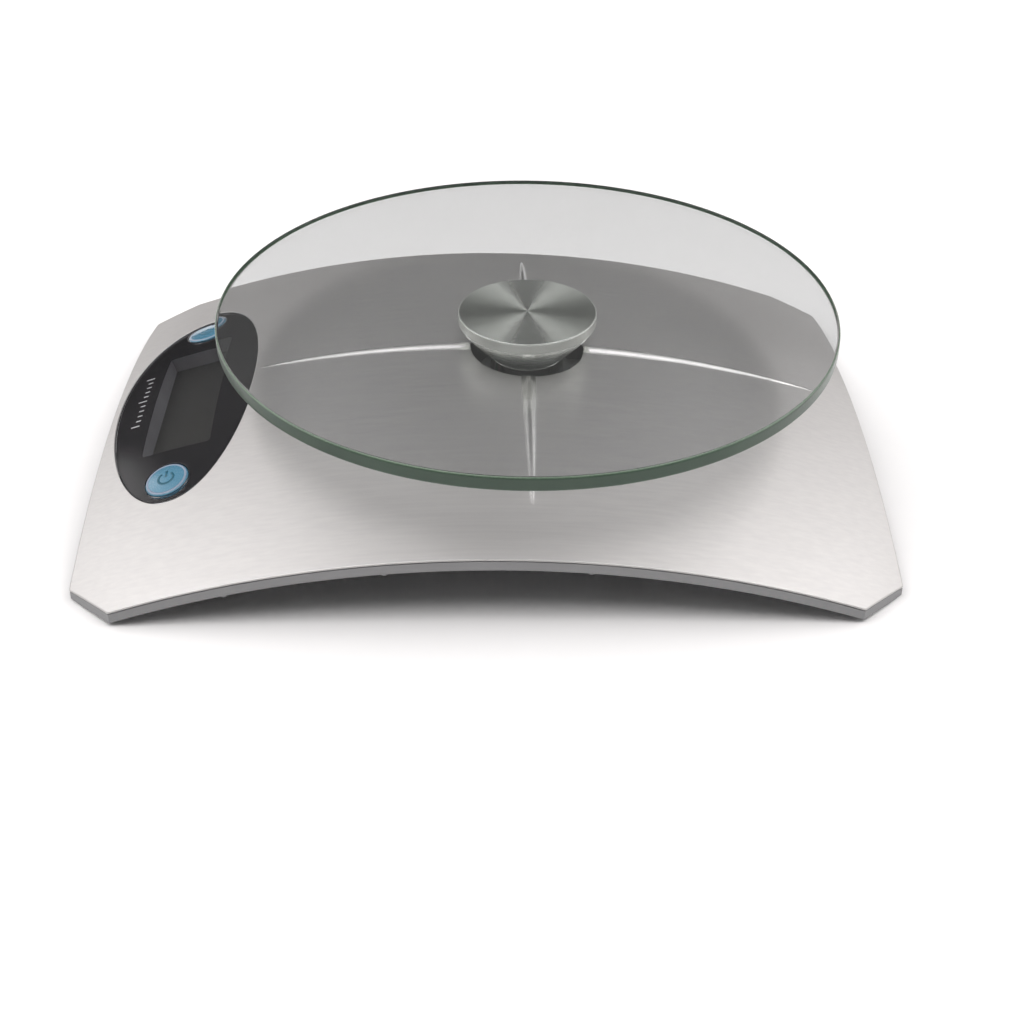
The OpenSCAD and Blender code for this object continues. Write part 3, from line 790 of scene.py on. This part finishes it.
def build_cover():
    """The pressed sheet, with its two holes and its ridges."""
    def lift(x, y, depth):
        return dome_height(x, y, -depth) + ridge_rise(x, y)

    def hub_hole(inset):
        return oval_loop((hub_x, 0), (HOLE_R, HOLE_R), -inset, 96)

    def lens_hole(inset):
        half = [h + LENS_GAP for h in LENS_HALF]
        return [display_plan(*p) for p in oval_loop((0, 0), half, -inset, 144)]

    inside = grid((-base_high.x, -base_high.y), (base_high.x, base_high.y), 3 * MM, open_ground)
    inside += [p for p in ridge_points() if clear_of_holes(p.x, p.y, 0.6 * MM)]
    shape = plate(base_outline, [hub_hole, lens_hole], inside, rolled_edge(SHEET, 0.28 * MM), lift)
    cover = add_piece("cover_sheet", shape, paint_cover(), "root", ["top_cover"])
    # The ridge faces get the much lighter steel, a painted highlight along each ridge.
    cover.data.materials.append(paint_ridge())
    for face in cover.data.polygons:
        face.material_index = int(ridge_rise(face.center.x, face.center.y) > RIDGE_FOOT)


# ------------------------------------------------------------------ platter and hub

def build_platter():
    """The round glass, with its ground edge and the polished corners above and below it."""
    low, high = glass_low.z, glass_high.z
    profile = rounded([(0, low, 0), (glass_r, low, GLASS_EDGE), (glass_r, high, GLASS_EDGE), (0, high, 0)])
    glass = clear("tempered_glass", (0.76, 0.74, 0.765), 1.52, (0.35, 0.8, 0.45), 14.0)
    shape = lathe(profile, (hub_x, 0), 240)
    platter = add_piece("platter_glass", shape, glass, "platform", ["glass_platter"])
    platter.data.materials.append(paint_glass_edge())
    platter.data.materials.append(paint_glass_bevel())
    # The sloping bevel faces take the lighter green, a painted highlight, and the upright edge takes the dark
    # green.
    rim = glass_r - 0.6 * GLASS_EDGE
    sloping = 0.35
    for face in platter.data.polygons:
        if math.hypot(face.center.x - hub_x, face.center.y) > rim:
            face.material_index = 2 if abs(face.normal.z) > sloping else 1


def build_hub():
    """The disc with its bowl-shaped underside, and the post below it."""
    seam = 0.02 * MM
    level = 0.9
    rings = 16
    top, rim, low = disc_high.z - GLUE, disc_high.z - RIM_HEIGHT, stem_high.z
    bowl = []
    for out in (i / rings for i in range(1, rings)):
        bowl.append((stem_r + (disc_r - stem_r) * out, rim - (rim - low) * (1 - out) ** BOWL_POWER, 0))
    profile = rounded([(0, low + seam, 0), (stem_r, low + seam, 0.3 * MM), *bowl,
                       (disc_r, rim, 0.4 * MM), (disc_r, top, 0.45 * MM), (0, top, 0)])
    star, side = paint_turned("star_stainless", True), paint_turned("turned_stainless", False)
    shape = lathe(profile, (hub_x, 0), 144)
    dish = add_piece("hub_dish", shape, star, "platform", ["hub_disc"])
    dish.data.materials.append(side)
    for face in dish.data.polygons:
        face.material_index = int(face.normal.z < level)
    post = rounded([(STEM_BORE, stem_low.z, 0.2 * MM), (stem_r, stem_low.z, 0.4 * MM),
                    (stem_r, stem_high.z, 0.4 * MM), (STEM_BORE, stem_high.z, 0.2 * MM)])
    add_piece("hub_post", lathe(post, (hub_x, 0), 144), side, "platform", ["hub_stem"])


# ------------------------------------------------------------------ display

def button_hole(side, radius):
    return lambda inset: oval_loop((BUTTON_U, side * BUTTON_V), (radius, radius), -inset, 48)


def window_loop(inset):
    x, y = WINDOW[0] / 2, WINDOW[1] / 2
    corners = [(x, -y), (x, y), (-x, y), (-x, -y)]
    return rounded_loop(corners, 1.2 * MM, -inset, 3 * MM)


def display_grid(grow, window):
    """Points inside the display's ellipse, clear of its button holes and, if window, of its window."""
    around_button = BUTTON_R + 1.6 * MM
    around_window = [side / 2 + 1.2 * MM for side in WINDOW]

    def keep(u, v):
        if math.hypot(u / (LENS_HALF[0] + grow), v / (LENS_HALF[1] + grow)) > 0.95:
            return False
        if min(math.hypot(u - BUTTON_U, v - s * BUTTON_V) for s in (-1, 1)) < around_button:
            return False
        return not window or abs(u) > around_window[0] or abs(v) > around_window[1]

    return grid((-LENS_HALF[0], -LENS_HALF[1]), LENS_HALF, 2.6 * MM, keep)


def build_lens():
    """The clear cover of the display, with a hole for each button."""
    def outline(inset):
        return oval_loop((0, 0), LENS_HALF, inset, 144)

    holes = [button_hole(s, BUTTON_R + 0.2 * MM) for s in (-1, 1)]
    shape = plate(outline, holes, display_grid(0, False), rolled_edge(LENS_T, 0.3 * MM), display_height)
    acrylic = clear("lens_acrylic", (0.9, 0.9, 0.92), 1.28, (0.6, 0.62, 0.7), 4.0)
    add_piece("lens_cover", shape, acrylic, "root", ["display_lens"], display_frame)


def build_mask():
    """The black print behind the lens, with a clear window."""
    def outline(inset):
        return oval_loop((0, 0), [h - 0.2 * MM for h in LENS_HALF], inset, 144)

    def lift(u, v, depth):
        return display_height(u, v, MASK_TOP + depth)

    holes = [button_hole(s, BUTTON_R + 0.3 * MM) for s in (-1, 1)] + [window_loop]
    thin = MASK_BOTTOM - MASK_TOP
    shape = plate(outline, holes, display_grid(-0.2 * MM, True), rolled_edge(thin, thin * 0.3, 1), lift)
    black = moulded("mask_print", (0.005, 0.0045, 0.0055), 0.6, grain=1.5 * MM, depth=0.0004 * MM,
                    ior=1.15)
    add_piece("mask_film", shape, black, "root", ["lens_mask"], display_frame)


def cap_height(u, v, side):
    """The crowned face of a push button, in the display's frame."""
    out = math.hypot(u - BUTTON_U, v - side * BUTTON_V) / BUTTON_R
    return display_height(u, v, BUTTON_CROWN * out * out - BUTTON_PROUD)


def cap_shape(side):
    """A push button's cap: a crowned face with a rounded edge, over a flange that holds it in."""
    nub_r = 2.5 * MM
    angles = [TAU * k / 64 for k in range(64)]

    def ring(radius, height):
        return [(BUTTON_U + radius * math.cos(a), side * BUTTON_V + radius * math.sin(a), height)
                for a in angles]

    def face_ring(radius, drop):
        return [(u, v, cap_height(u, v, side) - drop) for u, v, _ in ring(radius, 0)]

    edge = rounded([(0, 0, 0), (BUTTON_R, 0, 0.5 * MM), (BUTTON_R, 2 * MM, 0)], 5)
    centre = (BUTTON_U, side * BUTTON_V, cap_height(BUTTON_U, side * BUTTON_V, side))
    face = [[centre]] + [face_ring(BUTTON_R * s / 8, 0) for s in range(1, 8)]
    face += [face_ring(r, d) for r, d in edge[1:]]
    under = rounded([(BUTTON_R, FLANGE[1], 0), (FLANGE_R, FLANGE[1], 0.15 * MM),
                     (FLANGE_R, FLANGE[0], 0.15 * MM), (nub_r, FLANGE[0], 0),
                     (nub_r, FLANGE[0] - 0.1 * MM, 0)], 2)
    return skin(face + [ring(r, h) for r, h in under])


def power_icon(centre):
    """A ring that is open at the top, and a bar in the gap."""
    broken = arc(centre, 2.9 * MM, -235, 55) + arc(centre, 2.1 * MM, 55, -235)
    u, v = centre
    half, low, high = 0.4 * MM, v + 0.5 * MM, v + 3.4 * MM
    bar = [(u - half, low), (u + half, low), (u + half, high), (u - half, high)]
    return [broken, bar]


def unit_icon(centre):
    """Two chevrons, one up and one down."""
    u, v = centre
    half, low, rise, stroke = 2.1 * MM, 0.4 * MM, 1.7 * MM, 0.9 * MM
    chevrons = []
    for way in (-1, 1):
        corners = [(-half, low), (0, low + rise), (half, low),
                   (half, low + stroke), (0, low + rise + stroke), (-half, low + stroke)]
        chevrons.append([(u + way * across, v + way * along) for across, along in corners])
    return chevrons


def build_buttons():
    """The two push buttons, each with a printed rim and icon that ride on it."""
    blue = moulded("button_blue", (0.062, 0.20, 0.30), 0.26, spread=0.1, depth=0.002 * MM,
                   coat_weight=0.8, coat_roughness=0.1)
    rim_blue = moulded("button_rim", (0.24, 0.30, 0.40), 0.3, spread=0.05,
                       coat_weight=0.5, coat_roughness=0.12)
    ink = moulded("icon_print", (0.014, 0.095, 0.14), 0.4, spread=0.2)
    for side, name, icon in ((-1, "power", power_icon), (1, "unit", unit_icon)):
        body = name + "_button"
        centre = (BUTTON_U, side * BUTTON_V)

        def lift(u, v, depth, side=side):
            return cap_height(u, v, side) + PRINT_T - depth

        add_piece(name + "_cap", cap_shape(side), blue, body, [body], display_frame)
        rim = printed(arc(centre, 6.75 * MM, 0, 352.5, 47), [arc(centre, 6.0 * MM, 0, 352.5, 47)], lift)
        add_piece(name + "_rim", rim, rim_blue, body, (), display_frame)
        marks = join([printed(outline, [], lift) for outline in icon(centre)])
        add_piece(name + "_icon", marks, ink, body, (), display_frame)


def build_ticks():
    """A plain graduated scale printed on the mask beside the window, in place of lettering."""
    def lift(u, v, depth):
        return display_height(u, v, LENS_T + 0.01 * MM + depth)

    marks = []
    inner, half = -15.4 * MM, 0.3 * MM
    long, short = 3.0 * MM, 1.7 * MM
    for i in range(11):
        v = (3.1 * i - 12) * MM
        outer = inner - (long if i % 5 == 0 else short)
        corners = [(outer, v - half), (inner, v - half), (inner, v + half), (outer, v + half)]
        marks.append(printed(corners, [], lift))
    white = moulded("tick_print", (0.62, 0.62, 0.62), 0.5, spread=0.1)
    add_piece("tick_marks", join(marks), white, "root", (), display_frame)


def build_panel():
    """The liquid crystal panel: two sheets of glass, the lower one wider for its contacts, and a film."""
    u, v = LCD_SIZE[0] / 2, LCD_SIZE[1] / 2
    low, middle, film = LCD_TOP - LCD_T, LCD_TOP - 1.15 * MM, LCD_TOP - 0.2 * MM
    sheets = join([slab((-u, -v, low), (u, v, middle), 0.3 * MM, 0.1 * MM),
                   slab((-u + 2 * MM, -v, middle), (u - 2 * MM, v, film), 0.3 * MM, 0.1 * MM)])
    glass = moulded("panel_glass", (0.05, 0.055, 0.052), 0.1, spread=0.1, ior=1.3)
    add_piece("panel_sheets", sheets, glass, "root", ["lcd_panel"], display_frame)
    film_u, film_v = u - 2.6 * MM, v - 0.8 * MM
    cover = slab((-film_u, -film_v, film), (film_u, film_v, LCD_TOP), 0.3 * MM, 0.05 * MM)
    add_piece("panel_film", cover, paint_panel(), "root", (), display_frame)


# ------------------------------------------------------------------ feet, wires and load cell

def build_feet():
    """Four rubber feet, each with a shallow hollow in its sole."""
    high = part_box("rubber_feet")[1].z
    profile = rounded([(0, 0.3 * MM, 0), (3.6 * MM, 0.3 * MM, 0.2 * MM), (4.0 * MM, 0, 0.15 * MM),
                       (FOOT_R, 0, 0.6 * MM), (FOOT_R, high, 0.2 * MM), (0, high, 0)], 3)
    feet = [lathe(profile, (sx * FOOT_AT[0], sy * FOOT_AT[1]), 64) for sx in (-1, 1) for sy in (-1, 1)]
    rubber = moulded("foot_rubber", (0.03, 0.03, 0.03), 0.75)
    add_piece("foot_pads", join(feet), rubber, "root", ["rubber_feet"])


def build_wires():
    """The load cell's four wires and the battery's two."""
    colours = {"red": (0.45, 0.02, 0.015), "black": (0.012, 0.012, 0.012), "green": (0.02, 0.25, 0.05),
               "white": (0.7, 0.7, 0.66)}
    jackets = {}
    for name, colour in colours.items():
        jackets[name] = moulded("jacket_" + name, colour, 0.42, grain=0.2 * MM)

    def add_wire(piece, route, name, node):
        shape = tube(smooth_path(route), WIRE_R)
        add_piece(piece + name, shape, jackets[name], "root", [node])

    for y, name in zip((-4.5, -1.5, 1.5, 4.5), colours):
        add_wire("sensor_wire_", sensor_route(y), name, "sensor_wires")
    for route, name in ((POSITIVE_ROUTE, "red"), (NEGATIVE_ROUTE, "black")):
        add_wire("battery_wire_", route, name, "battery_wires")


def build_bending(node, name, material, edge):
    """A copy of a CAD node, cut into slices along its length, with its edges rounded."""
    low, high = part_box(node)
    mesh = bmesh.new()
    mesh.from_mesh(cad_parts[node].data)
    bmesh.ops.remove_doubles(mesh, verts=mesh.verts, dist=WELD)
    bmesh.ops.dissolve_limit(mesh, angle_limit=math.radians(1), verts=mesh.verts, edges=mesh.edges)
    for i in range(1, int((high.x - low.x) / SLICE)):
        everything = [*mesh.verts, *mesh.edges, *mesh.faces]
        bmesh.ops.bisect_plane(mesh, geom=everything, dist=WELD / 2, plane_co=(low.x + i * SLICE, 0, 0),
                               plane_no=(1, 0, 0))
    data = bpy.data.meshes.new(name)
    mesh.to_mesh(data)
    mesh.free()
    made = bpy.data.objects.new(name, data)
    bpy.context.scene.collection.objects.link(made)
    data.materials.append(material)
    soften(made, edge)
    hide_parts(node)
    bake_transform(made)


# ------------------------------------------------------------------ carried-over CAD nodes

def soften(made, width):
    """Joins the mesh's seams and rounds its edges, without touching the mesh itself."""
    weld = made.modifiers.new("weld", "WELD")
    weld.merge_threshold = WELD
    bevel = made.modifiers.new("edges", "BEVEL")
    bevel.width = width
    bevel.segments = 2
    bevel.limit_method = "ANGLE"
    bevel.angle_limit = math.radians(35)
    bevel.harden_normals = True


def dress(name, material, width=0.0):
    """Gives a CAD node its material, and rounded edges if width isn't 0."""
    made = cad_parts[name]
    made.data.materials.clear()
    made.data.materials.append(material)
    if width:
        soften(made, width)


def dress_cad_nodes():
    tray = moulded("tray_plastic", (0.26, 0.26, 0.265), 0.5, spread=0.03)
    zinc = metal("zinc_plate", (0.56, 0.57, 0.58), 0.32)
    aluminium = metal("milled_aluminium", (0.72, 0.73, 0.75), 0.3, (0.05, 1, 1))
    cast = metal("cast_zinc", (0.55, 0.56, 0.57), 0.5, size=0.8 * MM, depth=0.01 * MM)
    nickel = metal("nickel_leaf", (0.68, 0.63, 0.5), 0.22)
    coin = metal("coin_steel", (0.66, 0.66, 0.65), 0.24)
    black_plastic = moulded("housing_plastic", (0.12, 0.12, 0.125), 0.5)
    dress("body_tray", tray, 0.3 * MM)
    dress("battery_door", moulded("door_plastic", (0.25, 0.25, 0.255), 0.5, spread=0.03), 0.2 * MM)
    dress("display_housing", black_plastic)
    dress("zebra_strips", moulded("zebra_rubber", (0.6, 0.32, 0.3), 0.6), 0.1 * MM)
    dress("main_pcb", moulded("circuit_board", (0.012, 0.11, 0.045), 0.35), 0.1 * MM)
    dress("pcb_components", moulded("components", (0.05, 0.05, 0.06), 0.4), 0.1 * MM)
    dress("processor_blob", moulded("epoxy", (0.015, 0.015, 0.015), 0.18))
    dress("tact_switches", moulded("switch_body", (0.1, 0.1, 0.1), 0.45), 0.2 * MM)
    for name in ("power_switch_plunger", "unit_switch_plunger"):
        dress(name, moulded(name + "_plastic", (0.7, 0.66, 0.55), 0.4), 0.15 * MM)
    for name in ("cover_studs", "cover_screws", "pcb_screws", "load_cell_base_screws",
                 "overload_stop_screw", "carrier_screws", "stem_screw"):
        dress(name, zinc, 0.12 * MM)
    build_bending("load_cell", "beam", aluminium, 0.25 * MM)
    sealant = moulded("sealant", (0.8, 0.8, 0.78), 0.5, depth=0.05 * MM)
    build_bending("gauge_sealant", "gauge_coat", sealant, 0.3 * MM)
    dress("platform_carrier", cast, 0.4 * MM)
    dress("coin_cell", coin, 0.2 * MM)
    dress("negative_contact", nickel, 0.05 * MM)
    dress("positive_contact", nickel, 0.05 * MM)


# ------------------------------------------------------------------ the scene

bpy.context.scene.view_settings.view_transform = "Standard"
aim_camera()
light_world()
lay_floor()
add_lamp("key", place=(-0.5, -1.3, 1.9), size=1.2, power=2.5)
build_cover()
build_platter()
build_hub()
build_lens()
build_mask()
build_buttons()
build_ticks()
build_panel()
build_feet()
build_wires()
dress_cad_nodes()
